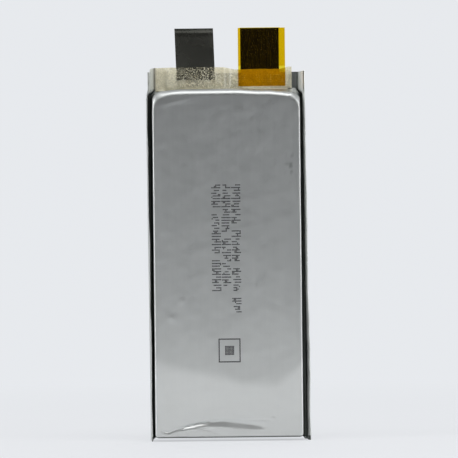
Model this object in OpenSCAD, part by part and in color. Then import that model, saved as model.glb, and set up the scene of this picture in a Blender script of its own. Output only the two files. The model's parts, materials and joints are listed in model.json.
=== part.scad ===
// Lithium polymer pouch cell with two top tabs, standing on its folded bottom edge.
// X runs across the cell, Y from the drawn front face to the flat rear face, Z from the bottom fold to the tabs.
// The origin is the middle of the underside: midway across, midway through, level with the ends of the side seals.
// All sizes are in millimetres.

/* [Pouch] */
// Thickness of the aluminium laminate film
film_t = 0.11; // [0.09:0.01:0.14]
// Thickness of the whole cell
cell_t = 6.6; // [4.6:0.1:8]
// Width of the drawn cup, outside
cup_w = 31.6; // [30:0.2:40]
// Length of the drawn cup, outside
cup_len = 73.2; // [50:0.2:110]
// Radius of the cup's top corners, seen from the front
cup_top_r = 2.4; // [1.2:0.1:4]
// Radius of the cup's bottom corners, seen from the front
cup_bottom_r = 0.9; // [0.5:0.1:4]
// Radius of the rounded edge round the front face
cup_edge_r = 0.9; // [0.4:0.1:1.2]
// Gap between the cup's side wall and the folded side seal
side_gap = 0.88; // [0.5:0.02:1.4]
// How far forward a folded side seal reaches, as a share of the cell's thickness
side_seal_reach = 0.8; // [0.5:0.05:0.95]
// Outside radius of the side seal's fold
side_fold_r = 0.4; // [0.3:0.05:0.5]
// Height of the top seal above the cup
terrace_len = 3.7; // [3.4:0.1:5]
// Height of the lip between the cup and the bottom fold
bottom_lip = 0.35; // [0.3:0.05:1]
// How far the side seals' ends reach below the bottom fold
ear_drop = 0.75; // [0:0.05:1.5]

/* [Tabs] */
// Width of each metal tab
tab_w = 8.2; // [6:0.2:8.4]
// Thickness of each metal tab
tab_t = 0.2; // [0.1:0.05:0.25]
// Distance between the two tabs' centres
tab_pitch = 13.7; // [13.4:0.1:15]
// How far the pair of tabs sits to the right of the cell's middle
tab_shift = 0.5; // [-1:0.05:1]
// Free length of a tab beyond its bend line
tab_free_len = 8; // [5:0.5:15]
// Sideways lean of the strip welded to the negative lead, in degrees
strip_lean = 2.5; // [-4:0.1:4]
// Distance that the strip's lower end laps over the front of the top seal
strip_lap = 1.6; // [0.5:0.1:2.5]
// Thickness of each sealant film bonded to a tab
sealant_t = 0.08; // [0.05:0.01:0.1]
// Distance that the sealant stands out past each side of a tab
sealant_margin = 1.8; // [1:0.1:2]

/* [Tapes] */
// Thickness of the translucent tape over the top seal
terrace_tape_t = 0.08; // [0.05:0.01:0.1]
// Distance that the tape over the top seal stands above the film's edge
terrace_tape_rise = 1.1; // [1:0.1:2]
// Width of the polyimide tape round the positive tab
polyimide_w = 10; // [9:0.5:11]
// Thickness of the polyimide tape
polyimide_t = 0.06; // [0.04:0.01:0.07]
// How far the polyimide tape sits to the right of its tab's middle
polyimide_shift = 0.4; // [0:0.1:0.4]
// Thickness of the tapes that bind the stack and cover the welds
inner_tape_t = 0.04; // [0.03:0.01:0.05]

/* [Electrode stack] */
// Thickness of one coated anode plate
anode_t = 0.13; // [0.1:0.005:0.18]
// Thickness of one coated cathode plate
cathode_t = 0.135; // [0.1:0.005:0.18]
// Thickness of the separator film
separator_t = 0.03; // [0.02:0.005:0.04]
// Thickness of the copper foil in an anode
copper_t = 0.012; // [0.01:0.002:0.02]
// Thickness of the aluminium foil in a cathode
aluminium_t = 0.016; // [0.01:0.002:0.02]
// Headroom between the separator's top edge and the cup's top wall, where the foil tails gather
headroom = 4; // [4:0.1:7]
// Empty film between the stack's lower end and the cup's bottom wall
foot_room = 3.3; // [1:0.1:4]

/* [Hidden] */

// Heights
z_fold = ear_drop;
z_lip = z_fold + film_t;
z_cup_bottom = z_fold + bottom_lip;
z_cup_top = z_cup_bottom + cup_len;
z_film_top = z_cup_top + terrace_len;
z_tape_top = z_film_top + terrace_tape_rise;
z_hinge = z_tape_top + 0.3;
z_tab_tip = z_hinge + tab_free_len;

// Depths
y_front = -cell_t / 2;
y_back = cell_t / 2;
y_seal = y_back - film_t;                       // where the two films meet
y_tab = y_seal - sealant_t - tab_t / 2;         // middle of both tabs where they pass through the seal
y_tab_front = y_tab - tab_t / 2;
y_tab_rear = y_tab + tab_t / 2;
y_bulge = y_tab_front - sealant_t;              // inside of the front film where it passes over a tab
y_strip_rear = y_bulge - film_t;                // the strip lies on the front of the film
y_strip = y_strip_rear - tab_t / 2;
y_side_seal = y_back - side_seal_reach * cell_t;

// Widths
cell_w = cup_w + 2 * (side_gap + 2 * film_t);
x_negative = tab_shift - tab_pitch / 2;
x_positive = tab_shift + tab_pitch / 2;
x_polyimide = x_positive + polyimide_shift;
sealant_w = tab_w + 2 * sealant_margin;
bulge_ramp = min(0.8, (tab_pitch - sealant_w) / 2 - 0.02);

// Electrode stack
pair_t = anode_t + cathode_t + 2 * separator_t;
stack_clearance = 0.15;
stack_room = cell_t - 2 * film_t - 2 * stack_clearance;
cathode_count = floor((stack_room - anode_t - 2 * separator_t) / pair_t);
anode_count = cathode_count + 1;
layer_count = 2 * cathode_count + 2;
stack_t = cathode_count * pair_t + anode_t + 2 * separator_t;
wrap_gap = 0.01;                                // play between the separator's last turn and the stack
x_pleat = cup_w / 2 - film_t - max(0.6, 0.75 * cup_edge_r);
x_wrap = x_pleat + separator_t + wrap_gap;
y_wrap = stack_t / 2 + separator_t / 2 + wrap_gap;
anode_w = 2 * x_pleat - 0.8;
cathode_w = anode_w - 1;
z_stack = z_cup_bottom + foot_room;
z_stack_top = z_cup_top - headroom;
plate_inset = [0.4, 0.9];                       // anode and cathode edges inside the separator's edges

// Foil tails, which gather forward of the tabs
tail_w = tab_w - 0.6;
weld_play = 0.002;                              // hair between the tails, so that each foil stays its own solid
z_gather = z_stack_top + 0.2;
z_weld = z_cup_top - 2.1;
z_weld_top = z_cup_top - 0.6;
z_sealant_top = z_film_top + 0.5;
hinge_play = 0.03;                              // between a tab's rounded root and its blade
blade_gap = tab_t / 2 + hinge_play;
sleeve_gap = blade_gap + 0.07;
arc_steps = 8;

// A polygon drawn in the plane across X and pushed from x0 to x1: its points are [y, z].
module along_x(x0, x1) {
    translate([x0, 0, 0]) rotate([90, 0, 90]) linear_extrude(x1 - x0) children();
}

// A polygon drawn in the plane across Y and pushed from y0 to y1: its points are [x, z].
module along_y(y0, y1) {
    translate([0, y1, 0]) rotate([90, 0, 0]) linear_extrude(y1 - y0) children();
}

// A polygon drawn in the plane across Z and pushed from z0 to z1: its points are [x, y].
module along_z(z0, z1) {
    translate([0, 0, z0]) linear_extrude(z1 - z0) children();
}

// A block between two corners.
module block(low, high) {
    translate(low) cube(high - low);
}

function reversed(list) = [for (i = [len(list) - 1:-1:0]) list[i]];

function arc(centre, r, from, to) =
    [for (i = [0:arc_steps]) let (a = from + (to - from) * i / arc_steps) centre + r * [cos(a), sin(a)]];

// Outline of a sheet of thickness t that lies in front of a line of [x, y] points.
function sheet_before(line, t) = concat(line, reversed([for (p = line) p - [0, t]]));

function unit(v) = v / norm(v);

function across(v) = [-v.y, v.x];

// Mitred sideways step at one point of a path, for a ribbon of thickness 2.
function mitre(path, i) =
    let (
        last = len(path) - 1,
        before = across(unit(path[max(i, 1)] - path[max(i, 1) - 1])),
        after = across(unit(path[min(i, last - 1) + 1] - path[min(i, last - 1)])),
        middle = unit(before + after)
    )
    middle / (middle * before);

// Outline of a ribbon of thickness t that follows a path.
function ribbon(path, t) =
    let (steps = [for (i = [0:len(path) - 1]) mitre(path, i) * t / 2])
    concat(path + steps, reversed(path - steps));

// The drawn cup as a solid, with every face moved in by inset. Its open side reaches y_open.
module cup_solid(inset, y_open) {
    half_w = cup_w / 2 - inset;
    low = z_cup_bottom + inset;
    high = z_cup_top - inset;
    front = y_front + inset;
    edge = cup_edge_r - inset;
    top_r = cup_top_r - inset;
    foot_r = max(cup_bottom_r - inset, 0.1);
    intersection() {
        along_y(front, y_open) polygon(concat(
            arc([half_w - top_r, high - top_r], top_r, 0, 90),
            arc([top_r - half_w, high - top_r], top_r, 90, 180),
            arc([foot_r - half_w, low + foot_r], foot_r, 180, 270),
            arc([half_w - foot_r, low + foot_r], foot_r, 270, 360)
        ));
        along_z(low, high) polygon(concat(
            arc([edge - half_w, front + edge], edge, 180, 270),
            arc([half_w - edge, front + edge], edge, 270, 360),
            [[half_w, y_open], [-half_w, y_open]]
        ));
        along_x(-half_w, half_w) polygon(concat(
            arc([front + edge, high - edge], edge, 90, 180),
            arc([front + edge, low + edge], edge, 180, 270),
            [[y_open, low], [y_open, high]]
        ));
    }
}

// Inner line of the front film across the top seal, with a raised stretch over each tab.
function terrace_line(x0, x1) = concat(
    [[x0, y_seal]],
    [for (x = [x_negative, x_positive]) each [
        [x - sealant_w / 2 - bulge_ramp, y_seal],
        [x - sealant_w / 2, y_bulge],
        [x + sealant_w / 2, y_bulge],
        [x + sealant_w / 2 + bulge_ramp, y_seal]
    ]],
    [[x1, y_seal]]
);

function moved_forward(line, d) = [for (p = line) p - [0, d]];

// One film of the right-hand side seal, folded forward, with its outer face on the fold radius r.
module side_seal(r) {
    centre = [cell_w / 2 - side_fold_r, y_back - side_fold_r];
    root = cup_w / 2 - film_t / 2;
    along_z(0, z_film_top) polygon(concat(
        [[root, centre.y + r]],
        arc(centre, r, 90, 0),
        [[centre.x + r, y_side_seal], [centre.x + r - film_t, y_side_seal]],
        arc(centre, r - film_t, 0, 90),
        [[root, centre.y + r - film_t]]
    ));
}

module both_side_seals(r) {
    side_seal(r);
    mirror([1, 0, 0]) side_seal(r);
}

// Front half of the folded film: the drawn cup, its top seal, its side seals and its bottom lip.
module pouch_front_film() color("silver") {
    x_flat = cell_w / 2 - side_fold_r;
    difference() {
        union() {
            cup_solid(0, y_seal);
            along_z(z_cup_top - film_t, z_film_top) polygon(sheet_before(terrace_line(-x_flat, x_flat), film_t));
            block([-cup_w / 2, y_seal - film_t, z_lip], [cup_w / 2, y_seal, z_cup_bottom + film_t]);
            both_side_seals(side_fold_r - film_t);
        }
        cup_solid(film_t, y_back);
        for (x = [x_negative, x_positive]) along_z(z_cup_top - 2 * film_t, z_film_top + 1) polygon([
            [x - sealant_w / 2 - bulge_ramp, y_seal],
            [x - sealant_w / 2, y_bulge],
            [x + sealant_w / 2, y_bulge],
            [x + sealant_w / 2 + bulge_ramp, y_seal]
        ]);
    }
}

// Rear half of the folded film: the flat back, its side seals and the bead of the bottom fold.
module pouch_rear_film() color("gainsboro") {
    x_flat = cell_w / 2 - side_fold_r;
    block([-x_flat, y_seal, z_lip], [x_flat, y_back, z_film_top]);
    along_x(-cup_w / 2, cup_w / 2) polygon(arc([y_seal, z_lip], film_t, 180, 360));
    both_side_seals(side_fold_r);
}

// Translucent tape over the front of the top seal and the foot of the negative strip.
// It covers the seal's whole width but for the right-hand end.
module terrace_tape() color("wheat", 0.7) {
    x_left = -cup_w / 2 - 0.4;
    x_right = max(cup_w / 2 - 1.7, x_positive + sealant_w / 2 + bulge_ramp + 0.05);
    strip_half = tab_w / 2 + 0.25;
    film_line = moved_forward(terrace_line(x_left, x_right), film_t);
    line = concat(
        [for (i = [0:2]) film_line[i]],
        [
            [x_negative - strip_half - 0.2, y_strip_rear], [x_negative - strip_half, y_strip_rear - tab_t],
            [x_negative + strip_half, y_strip_rear - tab_t], [x_negative + strip_half + 0.2, y_strip_rear]
        ],
        [for (i = [3:len(film_line) - 1]) film_line[i]]
    );
    along_z(z_cup_top + 0.6, z_tape_top) polygon(sheet_before(line, terrace_tape_t));
}

// Part of the polyimide tape that is stuck down on the top seal.
module polyimide_tape_foot() color("orange", 0.8) {
    y_rear = y_bulge - film_t - terrace_tape_t;
    block(
        [x_polyimide - polyimide_w / 2, y_rear - polyimide_t, z_cup_top + 0.8],
        [x_polyimide + polyimide_w / 2, y_rear, z_tape_top]
    );
}

// Part of the polyimide tape that wraps the positive blade: a front leg, a fold over the tip and a rear leg.
module polyimide_tape_sleeve() color("gold", 0.8) {
    left = x_polyimide - polyimide_w / 2;
    right = x_polyimide + polyimide_w / 2;
    half = tab_w / 2;
    pinch = min(0.2, polyimide_w / 2 - half - polyimide_shift);
    inner = [
        [left, y_tab], [x_positive - half - pinch, y_tab], [x_positive - half, y_tab_front],
        [x_positive + half, y_tab_front], [x_positive + half + pinch, y_tab], [right, y_tab]
    ];
    outline = sheet_before(inner, polyimide_t);
    along_z(z_hinge + sleeve_gap, z_tab_tip) {
        polygon(outline);
        polygon([for (p = outline) [p.x, 2 * y_tab - p.y]]);
    }
    block(
        [x_positive - half, y_tab_front - polyimide_t, z_tab_tip],
        [x_positive + half, y_tab_rear + polyimide_t, z_tab_tip + polyimide_t]
    );
}

// A length of tab metal between two heights. A lean shifts it sideways in step with its height above the bend line.
module tab_sheet(x, y, lean, low, high) {
    drift_low = -tan(lean) * (low - z_hinge);
    drift_high = -tan(lean) * (high - z_hinge);
    along_y(y - tab_t / 2, y + tab_t / 2) translate([x, 0]) polygon([
        [drift_low - tab_w / 2, low], [drift_low + tab_w / 2, low],
        [drift_high + tab_w / 2, high], [drift_high - tab_w / 2, high]
    ]);
}

// Fixed length of a tab up to its bend line, where its end is rounded.
module tab_root(x, y, lean, low) {
    tab_sheet(x, y, lean, low, z_hinge);
    translate([x - tab_w / 2, y, z_hinge]) rotate([0, 90, 0]) cylinder(h = tab_w, r = tab_t / 2, $fn = 48);
}

// Free length of a tab, which bends about its root's rounded end.
module tab_blade(x, y, lean) {
    tab_sheet(x, y, lean, z_hinge + blade_gap, z_tab_tip);
}

// Lead of the negative tab: it passes through the seal, steps forward above it and is welded to the strip's back.
module negative_lead() color("darkgray") {
    step = [z_sealant_top + 0.1, z_sealant_top + 0.35];
    path = [
        [y_tab, z_weld - 0.2], [y_tab, step[0]],
        [y_strip_rear + tab_t / 2, step[1]], [y_strip_rear + tab_t / 2, z_hinge - tab_t]
    ];
    along_x(x_negative - tab_w / 2, x_negative + tab_w / 2) polygon(ribbon(path, tab_t));
}

module negative_strip_foot() color("dimgray") tab_root(x_negative, y_strip, strip_lean, z_film_top - strip_lap);

module negative_strip_blade() color("dimgray") tab_blade(x_negative, y_strip, strip_lean);

module positive_tab_root() color("lightgray") tab_root(x_positive, y_tab, 0, z_weld - 0.2);

module positive_tab_blade() color("lightgray") tab_blade(x_positive, y_tab, 0);

// Front half of the sealant collar round a tab. The rear half is its mirror image through the tab's middle.
module sealant_half(x) {
    half = tab_w / 2;
    along_z(z_cup_top - 0.4, z_sealant_top) translate([x, 0]) polygon([
        [-sealant_w / 2, y_bulge], [sealant_w / 2, y_bulge], [sealant_w / 2, y_tab], [half, y_tab],
        [half, y_tab_front], [-half, y_tab_front], [-half, y_tab], [-sealant_w / 2, y_tab]
    ]);
}

module sealant_rear_half(x) {
    translate([0, 2 * y_tab, 0]) mirror([0, 1, 0]) sealant_half(x);
}

module negative_sealant_front() color("ivory") sealant_half(x_negative);

module negative_sealant_rear() color("ivory") sealant_rear_half(x_negative);

module positive_sealant_front() color("ivory") sealant_half(x_positive);

module positive_sealant_rear() color("ivory") sealant_rear_half(x_positive);

// Insulating patch over a weld, lying against the plane y on the side given: -1 in front of it, 1 behind it.
module weld_tape(x, y, side) {
    half = tab_w / 2 + 0.4;
    near = min(y, y + side * inner_tape_t);
    block([x - half, near, z_weld + 0.1], [x + half, near + inner_tape_t, z_weld_top + 0.1]);
}

module negative_weld_tape_front() color("teal") {
    weld_tape(x_negative, y_tab_front - anode_count * (copper_t + weld_play), -1);
}

module negative_weld_tape_rear() color("teal") weld_tape(x_negative, y_tab_rear, 1);

module positive_weld_tape_front() color("teal") {
    weld_tape(x_positive, y_tab_front - cathode_count * (aluminium_t + weld_play), -1);
}

module positive_weld_tape_rear() color("teal") weld_tape(x_positive, y_tab_rear, 1);

// Middle of separator layer k, counted from the rear.
function layer_y(k) =
    stack_t / 2 - separator_t / 2 - floor(k / 2) * pair_t - (k % 2) * (separator_t + anode_t);

function anode_y(i) = stack_t / 2 - separator_t - anode_t / 2 - i * pair_t;

function cathode_y(i) = anode_y(i) - anode_t / 2 - separator_t - cathode_t / 2;

// One separator ribbon, pleated between the plates and then wound once round the stack.
module separator_ribbon() color("white") {
    pleats = [for (k = [0:layer_count - 1]) let (side = k % 2 == 0 ? 1 : -1) each [
        [-side * x_pleat, layer_y(k)], [side * x_pleat, layer_y(k)]
    ]];
    last = layer_y(layer_count - 1);
    turn = [[-x_wrap, last], [-x_wrap, y_wrap], [x_wrap, y_wrap], [x_wrap, -y_wrap], [-x_wrap, -y_wrap]];
    path = concat([for (i = [0:len(pleats) - 2]) pleats[i]], turn);
    along_z(z_stack, z_stack_top) polygon(ribbon(path, separator_t));
}

// Bare foil number i from the rear: a plate as wide as its coating, and a tail that rises and gathers at its tab.
module foil(i, w, inset, y, t, x_tail) {
    y_weld = y_tab_front - (i + 0.5) * (t + weld_play);
    block([-w / 2, y - t / 2, z_stack + inset], [w / 2, y + t / 2, z_stack_top - inset]);
    line = [[y, z_stack_top - inset - 1], [y, z_gather], [y_weld, z_weld], [y_weld, z_weld_top]];
    along_x(x_tail - tail_w / 2, x_tail + tail_w / 2) polygon(concat(
        [for (p = line) p - [t / 2, 0]],
        reversed([for (p = line) p + [t / 2, 0]])
    ));
}

module coating_pair(w, inset, y, foil_t, plate_t) {
    layer = (plate_t - foil_t) / 2;
    for (near = [y - plate_t / 2, y + foil_t / 2])
        block([-w / 2, near, z_stack + inset], [w / 2, near + layer, z_stack_top - inset]);
}

module anode_foils() color("peru") for (i = [0:anode_count - 1])
    foil(i, anode_w, plate_inset[0], anode_y(i), copper_t, x_negative);

module anode_coatings() color("darkslategray") for (i = [0:anode_count - 1])
    coating_pair(anode_w, plate_inset[0], anode_y(i), copper_t, anode_t);

module cathode_foils() color("silver") for (i = [0:cathode_count - 1])
    foil(i, cathode_w, plate_inset[1], cathode_y(i), aluminium_t, x_positive);

module cathode_coatings() color("black") for (i = [0:cathode_count - 1])
    coating_pair(cathode_w, plate_inset[1], cathode_y(i), aluminium_t, cathode_t);

// Outer faces of the wound separator, with a hair of play for the tapes that bind it.
x_bind = x_wrap + (separator_t + inner_tape_t) / 2 + 0.005;
y_bind = y_wrap + (separator_t + inner_tape_t) / 2 + 0.005;

// Four tapes that clip round the stack's long edges, two a side.
module stack_side_tapes() color("mediumseagreen") {
    tape_len = 9;
    reach = 4;
    stack_len = z_stack_top - z_stack;
    for (side = [0, 1], share = [0.2, 0.8]) mirror([side, 0, 0]) {
        middle = z_stack + share * stack_len;
        path = [[x_bind - reach, -y_bind], [x_bind, -y_bind], [x_bind, y_bind], [x_bind - reach, y_bind]];
        along_z(middle - tape_len / 2, middle + tape_len / 2) polygon(ribbon(path, inner_tape_t));
    }
}

// One tape under the stack's lower end, up its front and back.
module stack_bottom_tape() color("mediumseagreen") {
    half_w = 6;
    rise = 7;
    low = z_stack - inner_tape_t;
    path = [[-y_bind, z_stack + rise], [-y_bind, low], [y_bind, low], [y_bind, z_stack + rise]];
    along_x(-half_w, half_w) polygon(ribbon(path, inner_tape_t));
}

pouch_front_film();
pouch_rear_film();
terrace_tape();
polyimide_tape_foot();
polyimide_tape_sleeve();
negative_lead();
negative_strip_foot();
negative_strip_blade();
positive_tab_root();
positive_tab_blade();
negative_sealant_front();
negative_sealant_rear();
positive_sealant_front();
positive_sealant_rear();
negative_weld_tape_front();
negative_weld_tape_rear();
positive_weld_tape_front();
positive_weld_tape_rear();
separator_ribbon();
anode_foils();
anode_coatings();
cathode_foils();
cathode_coatings();
stack_side_tapes();
stack_bottom_tape();
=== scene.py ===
"""Looks of a lithium pouch cell: detailed films, tapes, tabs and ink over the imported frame.

Lengths inside this script are millimetres in the frame's axes: X runs across, Y from the drawn face to the
flat rear, and Z up. They become metres where a mesh is made.
"""
import json
import math

import bpy
import numpy as np
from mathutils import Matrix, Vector


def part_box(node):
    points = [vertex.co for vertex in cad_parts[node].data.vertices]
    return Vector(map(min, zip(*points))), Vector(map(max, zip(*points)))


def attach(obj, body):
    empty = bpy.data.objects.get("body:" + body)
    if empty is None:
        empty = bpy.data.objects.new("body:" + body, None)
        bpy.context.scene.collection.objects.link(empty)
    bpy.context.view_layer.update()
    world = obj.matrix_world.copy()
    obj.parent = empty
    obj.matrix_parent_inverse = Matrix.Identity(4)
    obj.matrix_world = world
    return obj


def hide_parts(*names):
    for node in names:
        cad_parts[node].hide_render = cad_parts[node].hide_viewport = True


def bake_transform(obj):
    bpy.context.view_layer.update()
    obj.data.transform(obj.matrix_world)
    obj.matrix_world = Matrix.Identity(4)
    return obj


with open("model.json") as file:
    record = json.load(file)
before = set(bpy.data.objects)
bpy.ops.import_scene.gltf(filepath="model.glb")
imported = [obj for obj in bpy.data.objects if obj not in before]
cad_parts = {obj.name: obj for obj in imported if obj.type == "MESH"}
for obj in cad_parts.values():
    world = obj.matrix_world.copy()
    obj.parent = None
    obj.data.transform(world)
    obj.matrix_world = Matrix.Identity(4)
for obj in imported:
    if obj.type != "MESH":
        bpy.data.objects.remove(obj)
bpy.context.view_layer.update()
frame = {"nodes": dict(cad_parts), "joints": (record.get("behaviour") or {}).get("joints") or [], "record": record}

MM = 0.001


# ---- places taken from the frame

def box_mm(node):
    low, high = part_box(node)
    return np.array(low) / MM, np.array(high) / MM


FRONT_LOW, FRONT_HIGH = box_mm("pouch_front_film")
REAR_LOW, REAR_HIGH = box_mm("pouch_rear_film")
STRIP_LOW, _ = box_mm("negative_strip_foot")
BLADE_LOW, BLADE_HIGH = box_mm("negative_strip_blade")
TAB_LOW, TAB_HIGH = box_mm("positive_tab_blade")
ROOT_LOW, _ = box_mm("positive_tab_root")
_, TAPE_HIGH = box_mm("terrace_tape")
FOOT_LOW, FOOT_HIGH = box_mm("polyimide_tape_foot")
SEALANT_LOW, SEALANT_HIGH = box_mm("negative_sealant_front")
HINGE = {joint["child"]: np.array(joint["pos_m"]) / MM for joint in frame["joints"]}

FILM = REAR_HIGH[1] - FRONT_HIGH[1]         # thickness of the laminate
Y_FACE = FRONT_LOW[1]                       # drawn face
Y_BACK = REAR_HIGH[1]                       # rear face
Y_TERRACE = FRONT_HIGH[1] - FILM            # front of the front film where it is sealed flat
HALF_WIDTH = REAR_HIGH[0]
FILM_TOP = FRONT_HIGH[2]
TERRACE = 3.7                               # height of the top seal
CUP_TOP = FILM_TOP - TERRACE
CUP_BOTTOM = 0.68
CUP_HALF = HALF_WIDTH - 1.1                 # from the middle to the foot of the cup's side walls
FOLD_Z = 0.63                               # underside of the bottom fold
FOLD_R = 0.4                                # outside radius of the side seals' folds
Y_FOLD = Y_BACK - FOLD_R                    # height in Y of the folds' centres
WING = Y_FOLD - REAR_LOW[1]                 # forward reach of a side seal beyond its fold
TAB_T = TAB_HIGH[1] - TAB_LOW[1]
TAB_W = TAB_HIGH[0] - TAB_LOW[0]
TAB_X = (TAB_LOW[0] + TAB_HIGH[0]) / 2
TAB_Y = (TAB_LOW[1] + TAB_HIGH[1]) / 2
TIP_Z = TAB_HIGH[2]
STRIP_X, STRIP_Y, HINGE_Z = HINGE["negative_tab"]
SEALANT_HALF = (SEALANT_HIGH[0] - SEALANT_LOW[0]) / 2
BULGE = Y_TERRACE - (SEALANT_LOW[1] - FILM)  # how far the film stands forward over a tab
STRIP_LEAN = (BLADE_LOW[0] - STRIP_LOW[0]) / (BLADE_HIGH[2] - STRIP_LOW[2])  # sideways, per unit of height
TAPE_T = 0.08                               # frosted seal tape
AMBER_T = 0.06                              # amber tape


# ---- small maths

def smooth(low, high, value):
    t = np.clip((value - low) / (high - low), 0, 1)
    return t * t * (3 - 2 * t)


def bump(centre, width, value):
    return np.exp(-((value - centre) / width) ** 2)


def waves(x, z, seed, length, count=7):
    """Smooth noise of about unit height: a few sine waves in seeded directions, near one wavelength."""
    rng = np.random.default_rng(seed)
    total = 0
    for _ in range(count):
        angle = rng.uniform(0, 2 * math.pi)
        pitch = length * rng.uniform(0.6, 1.7)
        phase = rng.uniform(0, 2 * math.pi)
        along = x * math.cos(angle) + z * math.sin(angle)
        total = total + np.sin(2 * math.pi * along / pitch + phase)
    return total / math.sqrt(count)


# ---- mesh helpers

def points(x, y, z):
    """A grid of points from its coordinates, each of them a grid, a row or a number."""
    return np.stack(np.broadcast_arrays(x, y, z), axis=-1)


def surface_normals(grid):
    du = np.gradient(grid, axis=0)
    dv = np.gradient(grid, axis=1)
    normal = np.cross(du, dv)
    length = np.linalg.norm(normal, axis=2, keepdims=True)
    return normal / np.maximum(length, 1e-9)


SHARP_ANGLE = 50                            # degrees between two faces from which their edge is drawn sharp
LIT_FROM_BELOW = bpy.data.collections.new("lit_from_below")      # what the light at floor level shines on


def make_piece(name, vertices, faces, material):
    """A mesh object from vertices in millimetres. The record lists no slot for the ink."""
    mesh = bpy.data.meshes.new(name)
    mesh.from_pydata([tuple(v) for v in np.asarray(vertices) * MM], [], faces)
    mesh.validate()
    mesh.update()
    for polygon in mesh.polygons:
        polygon.use_smooth = True
    mesh.set_sharp_from_angle(angle=math.radians(SHARP_ANGLE))
    piece = bpy.data.objects.new(name, mesh)
    bpy.context.scene.collection.objects.link(piece)
    LIT_FROM_BELOW.objects.link(piece)
    mesh.materials.append(material)
    return piece


def shell(grid, thickness):
    """Vertices and faces of a closed sheet: grid is its outer surface, the inner one lies thickness behind.

    Seen from outside, the grid's first index runs to the right and its second one up.
    """
    columns, rows = grid.shape[:2]
    back = grid - surface_normals(grid) * thickness
    vertices = np.concatenate([grid.reshape(-1, 3), back.reshape(-1, 3)])
    index = np.arange(columns * rows).reshape(columns, rows)
    shift = columns * rows
    a, b, c, d = index[:-1, :-1], index[1:, :-1], index[1:, 1:], index[:-1, 1:]
    quads = np.stack([a, b, c, d], axis=-1).reshape(-1, 4)
    faces = quads.tolist() + (quads[:, ::-1] + shift).tolist()
    rim = list(index[:, 0]) + list(index[-1, 1:]) + list(index[-2::-1, -1]) + list(index[0, -2:0:-1])
    for one, two in zip(rim, rim[1:] + rim[:1]):
        faces.append([int(two), int(one), int(one) + shift, int(two) + shift])
    return vertices, faces


def sheet(name, grid, thickness, material):
    vertices, faces = shell(grid, thickness)
    return make_piece(name, vertices, faces, material)


# ---- material helpers

class Look:
    """A node material under construction, with short names for the nodes that this script uses."""

    def __init__(self, name):
        self.material = bpy.data.materials.new(name)
        self.material.use_nodes = True
        self.nodes = self.material.node_tree.nodes
        self.links = self.material.node_tree.links
        self.shader = self.nodes["Principled BSDF"]
        coordinates = self.nodes.new("ShaderNodeTexCoord")
        self.place = self.nodes.new("ShaderNodeVectorMath")
        self.place.operation = "SCALE"
        self.place.inputs["Scale"].default_value = 1 / MM
        self.links.new(coordinates.outputs["Object"], self.place.inputs[0])

    def feed(self, socket, value):
        """Sets a socket to another node's output, to a colour or to a number."""
        if isinstance(value, bpy.types.NodeSocket):
            self.links.new(value, socket)
        elif isinstance(value, tuple):
            socket.default_value = (*value, 1)
        else:
            socket.default_value = value

    def set(self, **values):
        for key, value in values.items():
            self.feed(self.shader.inputs[key.replace("_", " ").title()], value)

    def stretched(self, scale):
        node = self.nodes.new("ShaderNodeVectorMath")
        node.operation = "MULTIPLY"
        node.inputs[1].default_value = scale
        self.links.new(self.place.outputs[0], node.inputs[0])
        return node.outputs[0]

    def noise(self, per_mm, detail=3, roughness=0.55, stretch=None):
        node = self.nodes.new("ShaderNodeTexNoise")
        node.inputs["Scale"].default_value = per_mm
        node.inputs["Detail"].default_value = detail
        node.inputs["Roughness"].default_value = roughness
        vector = self.stretched(stretch) if stretch else self.place.outputs[0]
        self.links.new(vector, node.inputs["Vector"])
        return node.outputs["Fac"]

    def ramp(self, value, low, high, out_low, out_high):
        node = self.nodes.new("ShaderNodeMapRange")
        node.inputs["From Min"].default_value = low
        node.inputs["From Max"].default_value = high
        node.inputs["To Min"].default_value = out_low
        node.inputs["To Max"].default_value = out_high
        self.links.new(value, node.inputs["Value"])
        return node.outputs["Result"]

    def math(self, operation, one, two):
        node = self.nodes.new("ShaderNodeMath")
        node.operation = operation
        self.feed(node.inputs[0], one)
        self.feed(node.inputs[1], two)
        return node.outputs[0]

    def blend(self, value, colour_low, colour_high):
        node = self.nodes.new("ShaderNodeMix")
        node.data_type = "RGBA"
        self.feed(node.inputs[6], colour_low)
        self.feed(node.inputs[7], colour_high)
        self.links.new(value, node.inputs[0])
        return node.outputs[2]

    def height(self, value, distance_mm, strength=1.0):
        node = self.nodes.new("ShaderNodeBump")
        node.inputs["Distance"].default_value = distance_mm * MM
        node.inputs["Strength"].default_value = strength
        self.links.new(value, node.inputs["Height"])
        self.links.new(node.outputs["Normal"], self.shader.inputs["Normal"])

    def attribute(self, name):
        node = self.nodes.new("ShaderNodeAttribute")
        node.attribute_name = name
        return node.outputs["Fac"]

    def mix_shaders(self, share, one, two):
        mix = self.nodes.new("ShaderNodeMixShader")
        self.feed(mix.inputs[0], share)
        self.links.new(one, mix.inputs[1])
        self.links.new(two, mix.inputs[2])
        return mix.outputs[0]

    def see_through(self, tint, solid, gloss_roughness):
        """Lets light through unbent and tinted, but for the solid share, under a gloss."""
        clear = self.nodes.new("ShaderNodeBsdfTransparent")
        self.feed(clear.inputs["Color"], tint)
        body = self.mix_shaders(solid, clear.outputs[0], self.shader.outputs[0])
        gloss = self.nodes.new("ShaderNodeBsdfGlossy")
        gloss.inputs["Roughness"].default_value = gloss_roughness
        facing = self.nodes.new("ShaderNodeLayerWeight")
        facing.inputs["Blend"].default_value = 0.5
        grazing = self.math("POWER", facing.outputs["Facing"], 5.0)
        mirrored = self.math("ADD", 0.035, self.math("MULTIPLY", grazing, 0.6))
        surface = self.mix_shaders(mirrored, body, gloss.outputs[0])
        self.links.new(surface, self.nodes["Material Output"].inputs["Surface"])


# ---- materials

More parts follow.
